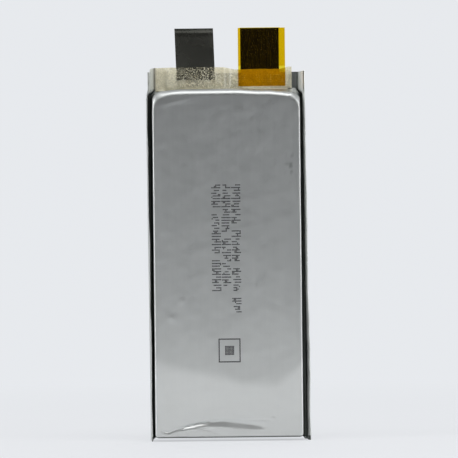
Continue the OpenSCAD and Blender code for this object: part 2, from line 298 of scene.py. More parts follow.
def laminate_material():
    """Nylon-faced aluminium laminate: satin silver, faintly streaked. It is painted paler below the loose-hanging
    part of the face as a reflection. It is pale and less metallic on the side seals, partly rubbed and partly as
    painted light, and along the rear film's cut edges. It is dark as painted shade in gaps, creases and under the
    cup, and at a real stain.
    """
    look = Look("laminate_silver")
    streaks = look.noise(1.0, 4, 0.6, (2.2, 2.2, 0.05))
    mottle = look.noise(0.30, 3, 0.5)
    grain = look.noise(5.0, 2, 0.6)
    mixed = look.math("ADD", look.math("MULTIPLY", streaks, 0.45), look.math("MULTIPLY", mottle, 0.55))
    painted_reflection = look.attribute("slack_painted_reflection")
    # dull: where the side seals are rubbed and painted pale as light, and along the rear film's cut edges; there
    # the film is paler and less metallic
    dull = look.math("ADD", look.attribute("rubbed_and_painted_light"), look.attribute("pale_cut_edge"))
    clean = look.blend(look.ramp(mixed, 0.3, 0.7, 0, 1), (0.520, 0.537, 0.529), (0.557, 0.571, 0.562))
    # painted reflection: paler where the face hangs loose towards its foot
    clean = look.blend(look.math("MULTIPLY", painted_reflection, 0.50), clean, (0.75, 0.765, 0.755))
    clean = look.blend(look.math("MULTIPLY", dull, 0.7), clean, (0.80, 0.83, 0.80))
    look.set(
        # the base colour darkens as painted shade in gaps, creases and under the cup, and for a real stain
        base_color=look.blend(look.attribute("painted_shade_and_stain"), clean, (0.09, 0.10, 0.09)),
        metallic=look.math("SUBTRACT", 1.0, look.math("MULTIPLY", dull, 0.95)),
        roughness=look.ramp(mixed, 0.3, 0.7, 0.36, 0.40),
        coat_weight=0.10,
        coat_roughness=0.25,
    )
    look.height(look.math("ADD", grain, look.math("MULTIPLY", mottle, 2.0)), 0.006, 0.5)
    return look.material


def nickel_material():
    """Dull nickel strip, rolled along its length, with faint handling marks."""
    look = Look("nickel_strip")
    rolled = look.noise(1.0, 5, 0.65, (9, 9, 0.4))
    stains = look.noise(0.2, 2, 0.5)
    mixed = look.math("ADD", look.math("MULTIPLY", rolled, 0.5), look.math("MULTIPLY", stains, 0.5))
    look.set(
        base_color=look.blend(look.ramp(mixed, 0.3, 0.7, 0, 1), (0.16, 0.16, 0.135), (0.18, 0.18, 0.155)),
        metallic=1.0,
        roughness=look.ramp(stains, 0.3, 0.7, 0.26, 0.29),
    )
    look.height(rolled, 0.003, 0.3)
    return look.material


def tab_aluminium_material():
    """Aluminium of the positive tab, dark through the amber tape that is stuck to it."""
    look = Look("tab_aluminium")
    rolled = look.noise(1.0, 5, 0.65, (8, 8, 0.5))
    look.set(
        base_color=look.blend(rolled, (0.065, 0.06, 0.055), (0.085, 0.08, 0.075)),
        metallic=1.0,
        roughness=look.ramp(rolled, 0.3, 0.7, 0.2, 0.3),
    )
    look.height(rolled, 0.008, 0.3)
    return look.material


def frosted_tape_material():
    """Frosted, slightly yellowed tape: hazy, but clear with bubbles where its glue has wetted the strip, and
    painted dark as shade in the side seal's crease.
    """
    look = Look("frosted_tape")
    fine = look.noise(4.4, 2, 0.5)
    coarse = look.noise(0.7, 3, 0.6)
    haze = look.ramp(fine, 0.35, 0.62, 0.68, 0.92)
    bubbles = look.ramp(fine, 0.51, 0.67, 0.0, 0.62)
    wet = look.attribute("wetted")
    dry_part = look.math("MULTIPLY", haze, look.math("SUBTRACT", 1.0, wet))
    solid = look.math("ADD", dry_part, look.math("MULTIPLY", bubbles, wet))
    clean = look.blend(look.ramp(coarse, 0.35, 0.65, 0, 1), (0.71, 0.66, 0.47), (0.85, 0.81, 0.63))
    clean = look.blend(look.attribute("lapped"), clean, (0.74, 0.77, 0.73))
    look.set(
        # painted shade in the side seal's crease
        base_color=look.blend(look.attribute("painted_crease_shade"), clean, (0.16, 0.15, 0.12)),
        roughness=look.ramp(fine, 0.3, 0.7, 0.40, 0.6),
    )
    look.height(fine, 0.02, 0.4)
    look.see_through((0.97, 0.96, 0.91), solid, 0.3)
    return look.material


def polyimide_material():
    """Clear amber polyimide with a glossy skin and faint streaks of glue."""
    look = Look("polyimide_amber")
    glue = look.noise(0.7, 4, 0.65, (1, 1, 2.5))
    look.set(
        base_color=look.blend(glue, (0.62, 0.27, 0.004), (0.74, 0.36, 0.006)),
        roughness=look.ramp(glue, 0.3, 0.7, 0.2, 0.35),
    )
    look.height(glue, 0.012, 0.3)
    tint = look.blend(look.attribute("over_seal"), (0.943, 0.845, 0.20), (0.885, 0.73, 0.12))
    look.see_through(tint, look.ramp(glue, 0.35, 0.65, 0.0, 0.004), 0.12)
    return look.material


def plain_material(name, dark, light, per_mm, roughness, metallic=0.0, stretch=None):
    """A surface with colour variation, uneven gloss and a fine relief, for ink and sealed-in pieces."""
    look = Look(name)
    pattern = look.noise(per_mm, 4, 0.6, stretch)
    look.set(
        base_color=look.blend(look.ramp(pattern, 0.3, 0.7, 0, 1), dark, light),
        metallic=metallic,
        roughness=look.ramp(pattern, 0.3, 0.7, roughness - 0.06, roughness + 0.06),
    )
    look.height(pattern, 0.01, 0.4)
    return look.material


LAMINATE = laminate_material()
NICKEL = nickel_material()
TAB_ALUMINIUM = tab_aluminium_material()
FROSTED = frosted_tape_material()
AMBER = polyimide_material()
INK = plain_material("ink_black", (0.012, 0.012, 0.013), (0.035, 0.035, 0.037), 6.0, 0.55)
METAL = (1.0, (6, 6, 0.3))                  # fully metallic, with the marks of rolling along Z
SLOT_LOOKS = {                              # of the CAD nodes that are shown as they are
    "plated_copper": ("lead_plating", (0.36, 0.35, 0.33), (0.50, 0.49, 0.47), 1.0, 0.3, *METAL),
    "sealant_film": ("sealant_ivory", (0.72, 0.66, 0.50), (0.84, 0.79, 0.66), 2.0, 0.5),
    "copper_foil": ("copper_foil", (0.60, 0.30, 0.17), (0.76, 0.42, 0.27), 1.0, 0.3, *METAL),
    "aluminium_foil": ("aluminium_foil", (0.66, 0.67, 0.68), (0.80, 0.81, 0.82), 1.0, 0.28, *METAL),
    "anode_coating": ("graphite_coating", (0.04, 0.04, 0.045), (0.085, 0.085, 0.09), 8.0, 0.8),
    "cathode_coating": ("oxide_coating", (0.022, 0.022, 0.025), (0.05, 0.05, 0.055), 9.0, 0.85),
    "separator_film": ("separator_white", (0.84, 0.84, 0.83), (0.92, 0.92, 0.91), 3.0, 0.65),
    "stack_tape": ("binding_green", (0.06, 0.33, 0.20), (0.11, 0.45, 0.29), 1.5, 0.25),
    "weld_insulation": ("insulation_teal", (0.03, 0.25, 0.29), (0.07, 0.36, 0.40), 1.5, 0.25),
}


# ---- the folded side seals

class SideSeal:
    """How a side seal lies, as outward distances: of its fold, and of its front edge from the fold."""

    def __init__(self, drawn_in_top, drawn_in_foot, lean, lean_foot, lean_top, flare):
        self.drawn_in_top = drawn_in_top    # the fold lies this far further in beside the top seal
        self.drawn_in_foot = drawn_in_foot  # and this far at the foot
        self.lean = lean                    # of the front edge, at the top of the cup
        self.lean_foot = lean_foot          # added towards the foot
        self.lean_top = lean_top            # added beside the top seal
        self.flare = flare                  # the front edge curls outward by this much


SIDE_SEALS = {
    1: SideSeal(1.3, 0.0, -0.07, 0.54, 1.25, 0.40),
    -1: SideSeal(1.45, 0.28, -0.14, -0.14, 1.14, 0.10),
}


def beside_seal(z):
    """0 beside the cup, 1 beside the top seal."""
    return smooth(CUP_TOP - 1.5, CUP_TOP + 0.1, z)


def towards_foot(z):
    """0 at the top of the cup, 1 at the foot."""
    return smooth(0, 1, 1 - z / CUP_TOP)


def fold_x(side, z):
    """Distance of a side seal's fold from the middle."""
    seal = SIDE_SEALS[side]
    return HALF_WIDTH - FOLD_R - (seal.drawn_in_top * beside_seal(z) + seal.drawn_in_foot * towards_foot(z))


def inner_fold_x(x, z):
    """Distance from the middle of the inner side of the fold that lies on the same side as x."""
    return np.where(x > 0, fold_x(1, z), fold_x(-1, z)) + FOLD_R - 2 * FILM


def wing_shift(side, z, forward):
    """Outward shift of a side seal at a distance forward of its fold: its lean, its flare and its waves."""
    seal = SIDE_SEALS[side]
    share = forward / WING
    lean = seal.lean - seal.flare + seal.lean_foot * towards_foot(z) + seal.lean_top * beside_seal(z)
    sway = 0.07 * waves(z, 0 * z, 11 + side, 24) + 0.025 * waves(z, 0 * z, 31 + side, 6)
    sway = share ** 1.5 * sway * smooth(CUP_TOP, CUP_TOP - 8, z)
    return share * lean + seal.flare * smooth(0.84, 1.0, share) + sway


def wing_reach(side, z):
    """Forward reach of a side seal past its fold, with the small nicks in the right-hand one's edge."""
    reach = WING + 0.05 * waves(z, 0 * z, 51 + side, 9) + 0.02 * waves(z, 0 * z, 61 + side, 1.7)
    if side > 0:
        reach = reach - 0.30 * bump(37.5, 0.35, z) - 0.22 * bump(31.2, 0.8, z)
    return reach


ARC_STEPS = 6
WING_STEPS = 14


def seal_columns(side, z, radius):
    """X and Y of a side seal's film at heights z, from the fold's flat end round to its front edge."""
    xs, ys = [], []
    centre = fold_x(side, z)
    for step in range(ARC_STEPS + 1):
        angle = math.pi / 2 * (1 - step / ARC_STEPS)
        xs.append(centre + radius * math.cos(angle))
        ys.append(Y_FOLD + radius * math.sin(angle) + 0 * z)
    reach = wing_reach(side, z)
    for step in range(1, WING_STEPS + 1):
        forward = reach * step / WING_STEPS
        xs.append(centre + radius + wing_shift(side, z, forward))
        ys.append(Y_FOLD - forward)
    return side * np.array(xs), np.array(ys)


# ---- relief of the films

# The crease across the foot of the face, where the film is empty below the stack's end, as heights at X.
CREASE_X = [-14.4, -13.6, -12.6, -10.9, -9.2, -7.8, -5.8, -3.8, -0.4, 7.9, 10]
CREASE_Z = [2.6, 2.1, 1.87, 2.55, 3.2, 3.62, 4.0, 4.3, 4.4, 4.4, 4.35]
SECOND_X = [-8.5, -7.2, -3.8, -1.8, -1.2]             # a fainter crease, down from the first
SECOND_Z = [3.1, 2.95, 2.25, 0.95, 0.4]
HOLLOW_X = [-11, -9.5, -8, -6.5, -5, -3.8, -2, -0.4, 3, 6.2, 7.8]     # the slanting hollow under the crease
HOLLOW_TOP = [2.42, 3.0, 3.4, 3.7, 4.0, 4.1, 4.2, 4.2, 3.7, 3.1, 2.8]
HOLLOW_LOW = [2.1, 2.46, 2.7, 2.95, 3.15, 3.15, 3.0, 2.8, 2.6, 2.35, 2.3]
HOLLOW_DEPTH = [0, 0.28, 0.40, 0.42, 0.34, 0.24, 0.18, 0.18, 0.16, 0.12, 0]
SLACK_X = [-16, -14.5, -10, -1, 2.7, 10, 14, 16]      # the line below which the face hangs loose, and below which it is painted paler as a reflection
SLACK_Z = [17.6, 17.0, 15.5, 14.0, 12.5, 12.3, 15.0, 17.5]
DENTS = [                                   # X, half width, Z, half height and depth. Some stand forward.
    (-9.6, 0.45, 29.6, 0.5, -0.09),
    (-11.8, 0.6, 26.0, 0.5, -0.06),
    (5.3, 0.5, 68.4, 0.5, 0.05),
    (9.3, 0.3, 4.6, 0.3, -0.05),
]


def foot_creases(x, z):
    """Depth of the creases near the foot of the face, and of the hollow under the first of them."""
    crease = np.interp(x, CREASE_X, CREASE_Z)
    top, low = np.interp(x, HOLLOW_X, HOLLOW_TOP), np.interp(x, HOLLOW_X, HOLLOW_LOW)
    fall = smooth(0, 1, (crease + 0.03 - z) / (crease + 0.03 - top))
    rise = np.clip((z - low) / (top - low), 0, 1)
    hollow = np.interp(x, HOLLOW_X, HOLLOW_DEPTH) * fall * rise
    pinch = smooth(-14.6, -13.4, x) * smooth(9.5, 6.5, x) * bump(crease, 0.15, z)
    pinch = pinch * (0.05 + 0.05 * smooth(-6, -9, x) + 0.08 * smooth(-11.5, -13, x))
    second = bump(np.interp(x, SECOND_X, SECOND_Z), 0.17, z) * smooth(-8.2, -7, x) * smooth(-1.3, -2.2, x)
    return hollow + pinch + 0.05 * second


def top_corners(x, z):
    """Depth of the face's rounded top corners, with a pucker and two folds at the right-hand one."""
    beyond_x = np.abs(x) - np.where(x > 0, 12.9, 12.6)
    beyond_z = z - CUP_TOP + np.where(x > 0, 3.4, 3.8)
    from_corner = np.hypot(np.maximum(beyond_x, 0), np.maximum(beyond_z, 0))
    rounded = smooth(2.0, 3.7, from_corner) * smooth(-1.4, 1.1, beyond_x) * smooth(-1.0, 1.4, beyond_z)
    pucker = bump(13.9, 1.0, x) * bump(CUP_TOP - 0.3, 0.8, z)
    left_fold = bump(12.4, 0.32, x + 0.5 * (z - CUP_TOP)) * bump(CUP_TOP - 0.4, 0.9, z)
    right_fold = bump(14.3, 0.26, x - 0.9 * (z - CUP_TOP)) * bump(CUP_TOP - 0.6, 0.7, z)
    return np.where(x > 0, 0.55, 0.30) * rounded - 0.20 * pucker + 0.09 * left_fold + 0.081 * right_fold


def face_relief(x, z):
    """How far the drawn face lies behind its plane."""
    side = np.abs(x) / CUP_HALF
    relief = 0.05 + 0.05 * side ** 6 + 0.06 * smooth(CUP_TOP - 5, CUP_TOP, z)
    relief = relief + 0.022 * waves(x, z * 0.35, 3, 13) + 0.006 * waves(x, z, 5, 4)
    relief = relief + foot_creases(x, z) + top_corners(x, z)
    relief = relief + 0.0045 * np.clip(np.interp(x, SLACK_X, SLACK_Z) - z, 0, 7)
    for dent_x, half_width, dent_z, half_height, depth in DENTS:
        relief = relief + depth * bump(dent_x, half_width, x) * bump(dent_z, half_height, z)
    across_streak = z - 72.3 - (x + 8.4) * 0.22         # a faint ridge slants up under the top edge
    return relief - 0.05 * bump(0, 0.55, across_streak) * bump(-10.6, 2.6, x)


def face_y(x, z):
    return Y_FACE + face_relief(np.asarray(x, float), np.asarray(z, float))


def tab_bulge(x, z):
    """How far the sealed film stands forward where it passes over the two tabs."""
    total = 0 * x
    for middle in (STRIP_X, TAB_X):
        away = np.abs(x - middle) - SEALANT_HALF
        total = total + BULGE * smooth(0.75, 0.0, away)
    return total * smooth(CUP_TOP + 0.1, CUP_TOP + 0.8, z)


def seal_knurl(x, z):
    """Fine diamond print of the sealing bar."""
    pitch = 0.55
    print_height = np.sin(2 * math.pi * (x + z) / pitch) * np.sin(2 * math.pi * (x - z) / pitch)
    band = smooth(CUP_TOP + 0.5, CUP_TOP + 0.7, z) * smooth(FILM_TOP - 0.1, FILM_TOP - 0.3, z)
    return 0.014 * print_height * band


def terrace_y(x, z):
    """Front of the front film over the top seal."""
    sway = 0.05 * waves(x, z * 0.4, 71, 9) * smooth(CUP_TOP + 0.8, FILM_TOP, z)
    return Y_TERRACE - tab_bulge(x, z) + seal_knurl(x, z) + sway


# ---- front film

TOP_CORNER_R, BOTTOM_CORNER_R = 1.6, 0.7    # the cup's outline
TOP_CORNER_GROWTH, BOTTOM_CORNER_GROWTH = 1.2, 0.1      # how fast a ring's corner radius grows with its inset
CORNER_REACH = 5.0                          # further in than this the grid's lines are straight
FOOT_R, FOOT_BOTTOM_R = 0.22, 0.05          # fillet at the foot of the cup's wall
SHOULDER_TOP, SHOULDER_SIDE, SHOULDER_BOTTOM = 1.45, 0.36, 0.24         # radii from the walls to the face
DRAFT_TOP, DRAFT_LEFT, DRAFT_RIGHT, DRAFT_BOTTOM = 0.08, 0.29, 0.09, 0.04       # how far the walls lean in
RING_STEPS = (4, 9, 9, 23)                  # rings in the foot, the wall, the shoulder and the face's margin
FACE_STEPS_X, FACE_STEPS_Z = 62, 116        # cells of the plain grid inside the rings
LEAST_CORNER_R = 0.03


def ring_profile(shoulder, draft, foot_r):
    """Inward offset and depth of each ring of the cup, from the wall's foot to the edge of the plain grid."""
    foot, wall, edge, margin = RING_STEPS
    rings = []
    for step in range(foot):
        angle = math.pi / 2 * step / foot
        rings.append((foot_r * (math.sin(angle) - 1), Y_TERRACE - foot_r * (1 - math.cos(angle))))
    wall_low, wall_high = Y_TERRACE - foot_r, Y_FACE + shoulder
    for step in range(wall):
        t = step / wall
        rings.append((draft * t, wall_low + (wall_high - wall_low) * t))
    for step in range(edge):
        angle = math.pi / 2 * step / (edge - 1)
        rings.append((draft + shoulder * (1 - math.cos(angle)), Y_FACE + shoulder * (1 - math.sin(angle))))
    last = rings[-1][0]
    for step in range(1, margin + 1):
        rings.append((last + (CORNER_REACH - last) * step / margin, Y_FACE))
    return np.array(rings)


def corner_point(t, reach, radius):
    """A point on a ring near a corner: its distance from the corner along a side, and in from that side.

    t runs from 0, where the plain grid ends, to 1, at the corner's diagonal. reach is the way between them.
    """
    straight = reach - radius
    arc = radius * math.pi / 4
    travelled = t * (straight + arc)
    if travelled <= straight:
        return reach - travelled, 0.0
    angle = (travelled - straight) / radius
    return radius - radius * math.sin(angle), radius - radius * math.cos(angle)


def cup_grid():
    """Points of the cup, [column, row, xyz]: a grid whose outer rings go down its walls."""
    side_rings = {
        1: ring_profile(SHOULDER_SIDE, DRAFT_RIGHT, FOOT_R),
        -1: ring_profile(SHOULDER_SIDE, DRAFT_LEFT, FOOT_R),
    }
    end_rings = {
        1: ring_profile(SHOULDER_TOP, DRAFT_TOP, FOOT_R),
        -1: ring_profile(SHOULDER_BOTTOM, DRAFT_BOTTOM, FOOT_BOTTOM_R),
    }
    corner_r = {1: TOP_CORNER_R, -1: BOTTOM_CORNER_R}
    growth = {1: TOP_CORNER_GROWTH, -1: BOTTOM_CORNER_GROWTH}
    count = sum(RING_STEPS)
    last = count - 1
    half_z = (CUP_TOP - CUP_BOTTOM) / 2
    inner_x = np.linspace(CORNER_REACH - CUP_HALF, CUP_HALF - CORNER_REACH, FACE_STEPS_X + 1)[1:-1]
    inner_z = np.linspace(CORNER_REACH - half_z, half_z - CORNER_REACH, FACE_STEPS_Z + 1)[1:-1]
    columns, rows = 2 * count + len(inner_x), 2 * count + len(inner_z)
    grid = np.zeros((columns, rows, 3))
    for i in range(columns):
        ring_x = min(i, columns - 1 - i)
        side_x = -1 if i < columns / 2 else 1
        for j in range(rows):
            ring_z = min(j, rows - 1 - j)
            side_z = -1 if j < rows / 2 else 1
            ring = min(ring_x, ring_z)
            x = inner_x[i - count] if ring_x >= count else side_x * (CUP_HALF - CORNER_REACH)
            z = inner_z[j - count] if ring_z >= count else side_z * (half_z - CORNER_REACH)
            if ring >= count:
                grid[i, j] = x, Y_FACE, z
                continue
            off_side, deep_side = side_rings[side_x][ring]
            off_end, deep_end = end_rings[side_z][ring]
            inset = max(off_side, off_end, 0)
            radius = min(corner_r[side_z] + growth[side_z] * inset, CORNER_REACH - inset)
            radius = max(radius, LEAST_CORNER_R)
            other = max(ring_x, ring_z)
            turned = (last - other) / (last - ring) if other < count and last > ring else 0.0
            if ring_x <= ring_z:
                along, across = corner_point(turned, CORNER_REACH - off_end, radius)
                x = side_x * (CUP_HALF - off_side - across)
                if ring_z < count:
                    z = side_z * (half_z - off_end - along)
                deep = deep_side + (deep_end - deep_side) * turned / 2
            else:
                along, across = corner_point(turned, CORNER_REACH - off_side, radius)
                z = side_z * (half_z - off_end - across)
                if ring_x < count:
                    x = side_x * (CUP_HALF - off_side - along)
                deep = deep_end + (deep_side - deep_end) * turned / 2
            grid[i, j] = x, deep, z
    grid[..., 2] += (CUP_TOP + CUP_BOTTOM) / 2
    # The cup's top edge droops at its left end, and its shoulder falls towards the right.
    x, risen = grid[..., 0], smooth(Y_TERRACE - FOOT_R, Y_FACE + 1.0, grid[..., 1])
    droop = 0.55 * smooth(-8.5, -16.0, x) - 0.10 * smooth(6, 13, x)
    fall = 0.25 * smooth(2, 8, x) + 0.77 * smooth(8, 15.5, x) - 0.18
    grid[..., 2] -= (droop + fall * risen) * smooth(CUP_TOP - 4.5, CUP_TOP - 0.5, grid[..., 2])
    z = grid[..., 2]
    grid[..., 1] += risen * face_relief(x, z)
    wall = smooth(0.5, 0.2, CUP_HALF - np.abs(x)) * bump((Y_TERRACE + Y_FACE) / 2, 2.2, grid[..., 1])
    grid[..., 0] += wall * 0.05 * waves(z, x, 81, 15)
    return grid


def front_film_grid():
    """The cup's grid with the top seal, the bottom lip and both side seals added to it."""
    cup = cup_grid()
    columns, rows = cup.shape[:2]
    count = sum(RING_STEPS)
    lip_rows, terrace_rows = 3, 18
    edge_z_low = cup[columns // 2, 0, 2]
    edge_z_high = cup[columns // 2, -1, 2]
    corner_share = np.clip(1 - np.arange(columns) / (count - 1), 0, 1)
    corner_share = np.maximum(corner_share, corner_share[::-1])
    sign = np.where(np.arange(columns) < columns / 2, -1, 1)
    plain_x = cup[:, rows // 2, 0]

    def line_x(z):
        limit = np.where(sign > 0, fold_x(1, z), fold_x(-1, z)) - 0.15
        inner = CUP_HALF - CORNER_REACH
        return np.where(corner_share > 0, sign * (inner + (limit - inner) * corner_share), plain_x)

    body = [cup]
    for step in range(1, terrace_rows + 1):
        z = edge_z_high + (FILM_TOP - edge_z_high) * step / terrace_rows
        x = line_x(z)
        edge = 0.03 * waves(x, 0 * x, 91, 7) * (step == terrace_rows)
        body.append(points(x, terrace_y(x, z), z + edge)[:, None, :])
    lips = []
    for step in range(lip_rows, 0, -1):
        z = edge_z_low - 0.03 * step
        x = line_x(z)
        lips.append(points(x, Y_TERRACE + 0.02 * step, z)[:, None, :])
    body = np.concatenate(lips + body, axis=1)

    corner_rows = np.clip(1 - np.arange(rows) / (count - 1), 0, 1)
    straight_z = cup[columns // 2, :, 2].copy()
    low_inner = straight_z[count - 1]
    high_inner = straight_z[rows - count]
    straight_z = np.where(corner_rows > 0, low_inner + (edge_z_low - low_inner) * corner_rows, straight_z)
    top_share = corner_rows[::-1]
    straight_z = np.where(top_share > 0, high_inner + (edge_z_high - high_inner) * top_share, straight_z)
    ears = FOLD_Z * np.array([0.0, 0.3, 0.62])
    above = body[columns // 2, lip_rows + rows:, 2]
    wing_z = np.concatenate([ears, straight_z, above])

    left, right = [points(*seal_columns(side, wing_z, FOLD_R - 2 * FILM), wing_z) for side in (-1, 1)]
    return np.concatenate([left[::-1], body, right], axis=0)


# ---- rear film

def rear_relief(x, z):
    """How far the rear face lies in front of its plane: faint prints of the stack and of the sealing bar."""
    inside = smooth(15.4, 14.6, np.abs(x)) * smooth(1.6, 2.6, z) * smooth(CUP_TOP - 3.4, CUP_TOP - 4.6, z)
    relief = 0.09 * (1 - inside) * smooth(16.4, 15.6, np.abs(x))
    relief = relief + 0.03 * waves(x, z * 0.4, 13, 12) + 0.007 * waves(x, z, 15, 4)
    return relief + seal_knurl(x, z) - 0.03 * bump(CUP_TOP + 0.15, 0.25, z)


def rear_film_grid():
    z = np.concatenate([[0.0, 0.22, 0.46], np.linspace(FOLD_Z - 0.02, FILM_TOP, 190)])
    left_x, left_y = seal_columns(-1, z, FOLD_R)
    right_x, right_y = seal_columns(1, z, FOLD_R)
    share = np.linspace(0, 1, 92)[1:-1, None]
    flat_x = left_x[0] + (right_x[0] - left_x[0]) * share
    flat_z = np.broadcast_to(z, flat_x.shape).copy()
    flat_y = Y_BACK - rear_relief(flat_x, flat_z)
    near_edge = smooth(0, 0.05, share) * smooth(1, 0.95, share)
    flat_y = Y_BACK + (flat_y - Y_BACK) * near_edge
    # The lowest rows curl forward round the bottom fold. At the ears they run on straight down.
    for row, (curl_y, curl_z) in enumerate([(0.235, 0.03), (0.14, -0.02), (0.05, 0.01)]):
        ear = smooth(CUP_HALF - 0.2, CUP_HALF + 0.3, np.abs(flat_x[:, row]))
        flat_y[:, row] += -(1 - ear) * curl_y
        flat_z[:, row] = ear * z[row] + (1 - ear) * (FOLD_Z + curl_z)
    left, right = points(left_x, left_y, z), points(right_x, right_y, z)
    return np.concatenate([left[::-1], points(flat_x, flat_y, flat_z), right], axis=0)[::-1]


# ---- tapes and tabs

def strip_x(z):
    """Middle of the leaning negative strip at height z."""
    return STRIP_X + STRIP_LEAN * (z - HINGE_Z)


def over_strip(x, z):
    """How far the tape stands forward of the film where it passes over the strip's foot."""
    away = np.abs(x - strip_x(z)) - TAB_W / 2
    return TAB_T * smooth(0.45, 0.08, away) * smooth(STRIP_LOW[2] - 0.35, STRIP_LOW[2] - 0.02, z)


def tape_front_y(x, z):
    """Front of the frosted tape over the top seal."""
    film_z = np.minimum(z, FILM_TOP)
    lifted = 0.17 * smooth(CUP_TOP + 0.75, CUP_TOP + 0.15, z)
    gap = 0.012 + 0.010 * waves(x, z, 101, 2.2)
    return terrace_y(x, film_z) - over_strip(x, z) - TAPE_T - np.abs(gap) - lifted


def tape_top_wave(x):
    """Rise of the seal tape's top edge above its level. It dips in front of the positive tab."""
    ripple = 0.05 * waves(x, 0 * x, 111, 8) + 0.02 * waves(x, 0 * x, 113, 2)
    return ripple - 0.45 * smooth(-0.5, 2.5, x) * smooth(13.5, 11.5, x)


def terrace_tape_grid():
    """Frosted tape: flat over the seal, and turned forward at its left end along the side seal's inside."""
    rows = 34
    z_low = CUP_TOP + FOOT_R + 0.03
    z = np.linspace(z_low, TAPE_HIGH[2], rows)
    left_x, left_y = seal_columns(-1, np.minimum(z, FILM_TOP), FOLD_R - 2 * FILM)
    turned = ARC_STEPS + 1 + 12
    inset = TAPE_T + 0.02
    left_x = left_x[:turned] + inset
    flat_start = left_x[0]
    share = np.linspace(0, 1, 190)[:, None]
    flat_x = flat_start + 0.02 + (TAPE_HIGH[0] - flat_start - 0.02) * share
    flat_z = np.broadcast_to(z, flat_x.shape).copy()
    flat_y = tape_front_y(flat_x, flat_z)
    joined = smooth(0.0, 0.02, share)
    left_y = left_y[:turned] - inset * np.linspace(1, 0, turned)[:, None]
    flat_y = left_y[0] * (1 - joined) + flat_y * joined
    top_wave = tape_top_wave(flat_x)
    rise = smooth(z_low, TAPE_HIGH[2], flat_z)
    low_curve = -0.50 * smooth(-8.5, -16.0, flat_x) + 0.04 * waves(flat_x, 0 * flat_x, 117, 6)
    low_share = smooth(z_low + 1.5, z_low, flat_z)
    flat_z = flat_z + top_wave * rise + low_curve * low_share
    rounded = 0.45 * np.linspace(0, 1, turned)[:, None] ** 2 * smooth(z_low + 2.5, TAPE_HIGH[2], z)
    return np.concatenate([points(left_x, left_y, z - rounded)[::-1], points(flat_x, flat_y, flat_z)], axis=0)


def wetted(x, y, z):
    """Where the seal tape's glue has wetted the smooth strip behind it."""
    ragged = 0.05 * waves(x, z, 131, 0.8)
    across = smooth(0.06, -0.06, np.abs(x - strip_x(z)) - TAB_W / 2)
    on_strip = across * smooth(-0.06, 0.06, z - STRIP_LOW[2] + ragged)
    patchy = smooth(-10.9, -10.2, x) * smooth(4.2, 3.2, x) * smooth(FILM_TOP, FILM_TOP - 0.3, z)
    return np.maximum(on_strip, (0.50 + 0.14 * waves(x, z, 133, 4)) * patchy)


def over_seal(x, y, z):
    """Where the amber tape lies on the seal tape and has the tab, or beside the tab the film, behind it."""
    top = np.where(np.abs(x - TAB_X) < TAB_W / 2, TAPE_HIGH[2] + tape_top_wave(x), FILM_TOP)
    return smooth(0.04, -0.04, z - top)


def painted_crease_shade(x, y, z):
    """Painted shade down in the crease where a side seal folds forward."""
    return bump(-0.12, 0.26, np.abs(x) - inner_fold_x(x, z)) * smooth(Y_FOLD - 1.5, Y_FOLD - 0.3, y)


def lapped(x, y, z):
    """Where the seal tape turns forward along the side seal and the silver film shows through it."""
    return smooth(1 - CUP_HALF, 0.7 - CUP_HALF, x) * smooth(Y_FOLD - 0.1, Y_FOLD - 0.9, y)


def painted_shade_and_stain(x, y, z):
    """Where the film is painted dark: as painted shade in the gap beside the cup, on the cup's side walls, in the
    side seals' creases, under the cup and on the front film's cut edge beside the top seal; darker on the bare
    seal; and the face's real stain.
    """
    depth = y - (Y_FOLD - WING)
    on_seal = smooth(CUP_HALF + 0.3, CUP_HALF + 0.5, np.abs(x))
    # painted shade in the gap between the cup and a side seal
    beside = smooth(CUP_HALF - 0.02, CUP_HALF + 0.10, np.abs(x)) * smooth(-0.05, 1.4, depth - 3.0 * on_seal)
    beside = beside * smooth(CUP_TOP - 0.1, CUP_TOP - 1.1, z)
    # painted shade on the cup's side walls
    wall = smooth(Y_FACE + 0.35, Y_FACE + 0.8, y) * smooth(CUP_HALF + 0.15, CUP_HALF + 0.05, np.abs(x))
    leant_in = np.where(x > 0, DRAFT_RIGHT, DRAFT_LEFT)
    wall = wall * smooth(CUP_HALF - leant_in - 0.10, CUP_HALF - leant_in + 0.02, np.abs(x))
    wall = wall * smooth(CUP_TOP - 1, CUP_TOP - 3, z)
    short_of_fold = inner_fold_x(x, z) - np.abs(x)
    # darker on the bare seal beside the tape
    flange = 0.66 * smooth(CUP_TOP + 0.1, CUP_TOP + 0.4, z) * smooth(0.2, 0.4, short_of_fold)
    # painted shade under the cup's bottom edge
    under = smooth(CUP_BOTTOM + 0.34, CUP_BOTTOM + 0.20, z)
    # painted shade on the front film's cut edge beside the top seal
    cut_edge = 0.85 * beside_seal(z) * on_seal * smooth(0.09, 0.02, depth)
    # a real stain on the face
    stain = 0.45 * bump(13.6, 1.0, x) * bump(58.2, 2.4, z) * smooth(0.2, 1.1, waves(x, z, 141, 1.3))
    parts = np.stack([beside, wall, painted_crease_shade(x, y, z), flange, under, cut_edge, stain])
    return np.clip(parts.max(axis=0), 0, 1)


def rubbed_and_painted_light(x, y, z):
    """Where the side seals are rubbed dull, and painted pale as light that would reach their inner faces: beside
    the top seal and along their front edges.
    """
    depth = y - (Y_FOLD - WING)
    beside = smooth(CUP_TOP - 1.4, CUP_TOP - 0.5, z) * smooth(Y_FOLD - 0.3, Y_FOLD - 1.3, y)
    beside = beside * smooth(CUP_HALF - 2.5, CUP_HALF - 1.5, np.abs(x)) * smooth(0.08, 0.5, depth)
    edge = smooth(CUP_HALF + 0.3, CUP_HALF + 0.5, np.abs(x)) * smooth(4.6, 2.4, depth) * (1 - beside_seal(z))
    return np.maximum(0.85 * beside, np.where(x > 0, 0.95, 0.5) * edge)


